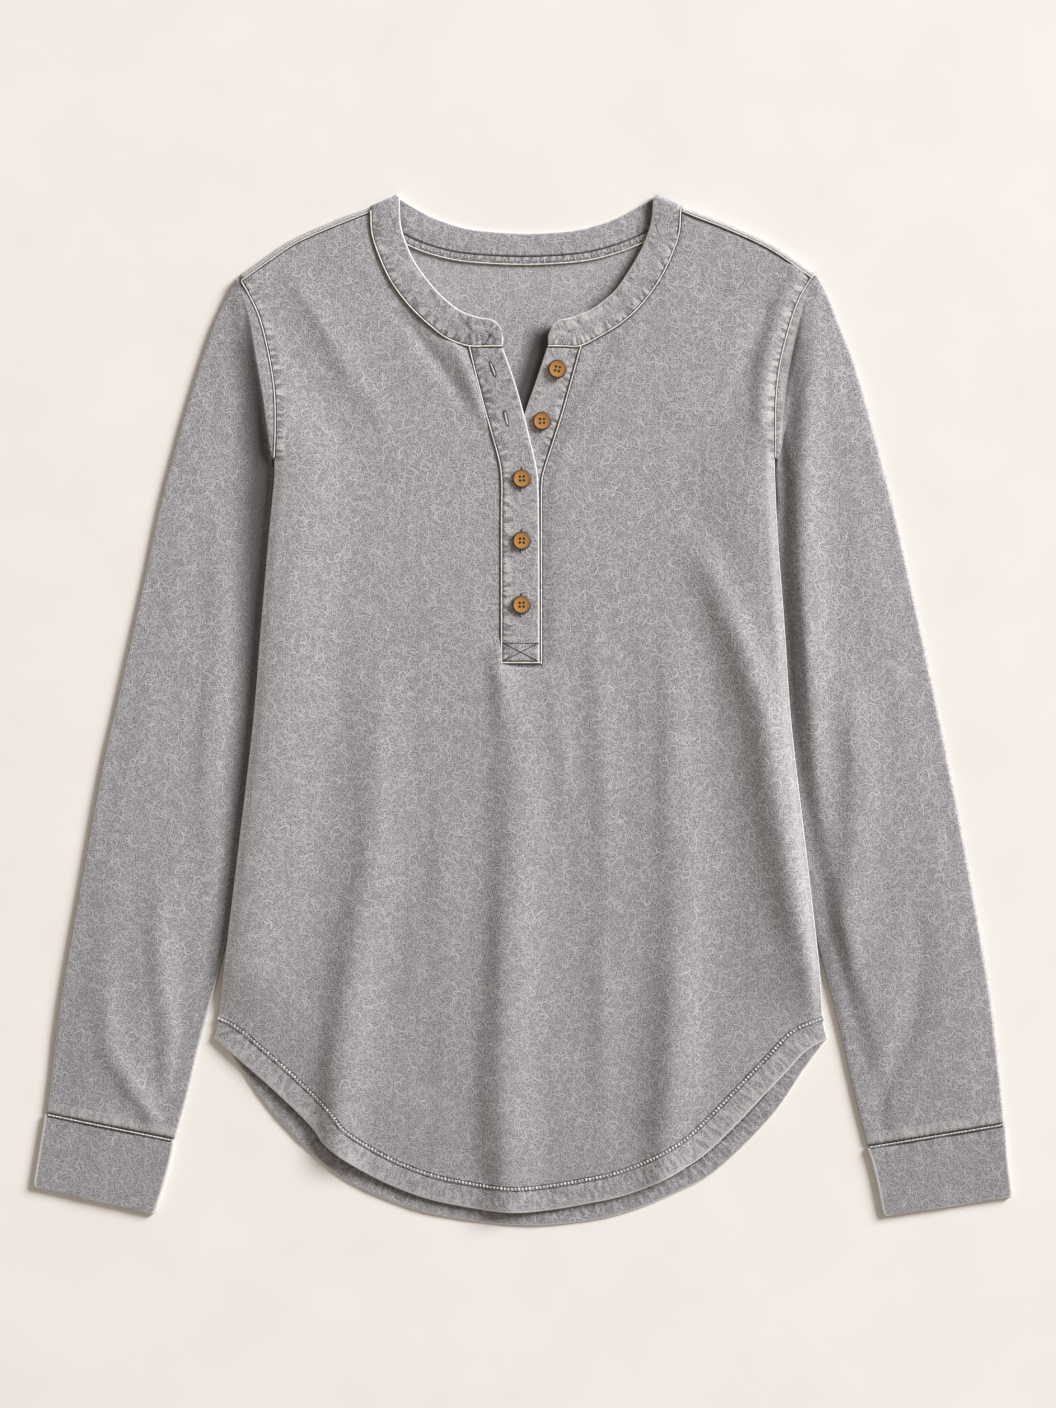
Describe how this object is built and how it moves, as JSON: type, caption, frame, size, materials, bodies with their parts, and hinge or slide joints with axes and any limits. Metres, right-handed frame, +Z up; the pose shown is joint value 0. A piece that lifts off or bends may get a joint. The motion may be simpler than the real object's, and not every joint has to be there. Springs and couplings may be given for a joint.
{
  "type": "henley shirt",
  "caption": "Long-sleeved jersey henley shirt lying flat on its back, with a banded neck, a buttoned half placket, plain cuffs and a curved hem.",
  "frame": {"origin": "centre of the shirt's outline, on the surface that it lies on", "axes": "+X to the right as one looks down at the front, +Y up towards the neck, +Z up off the surface"},
  "size_m": [0.6542, 0.6906, 0.0087],
  "materials": {
    "jersey": "matte washed jersey",
    "button_wood": "satin lacquer"
  },
  "bodies": {
    "root": {"front": "jersey", "back": "jersey", "sleeve_left": "jersey", "sleeve_right": "jersey", "cuff_left": "jersey", "cuff_right": "jersey", "neckband": "jersey", "neck_tape": "jersey", "placket_over": "jersey", "placket_under": "jersey", "button_1": "button_wood", "button_2": "button_wood", "button_3": "button_wood", "button_4": "button_wood", "button_5": "button_wood"}
  },
  "joints": []
}
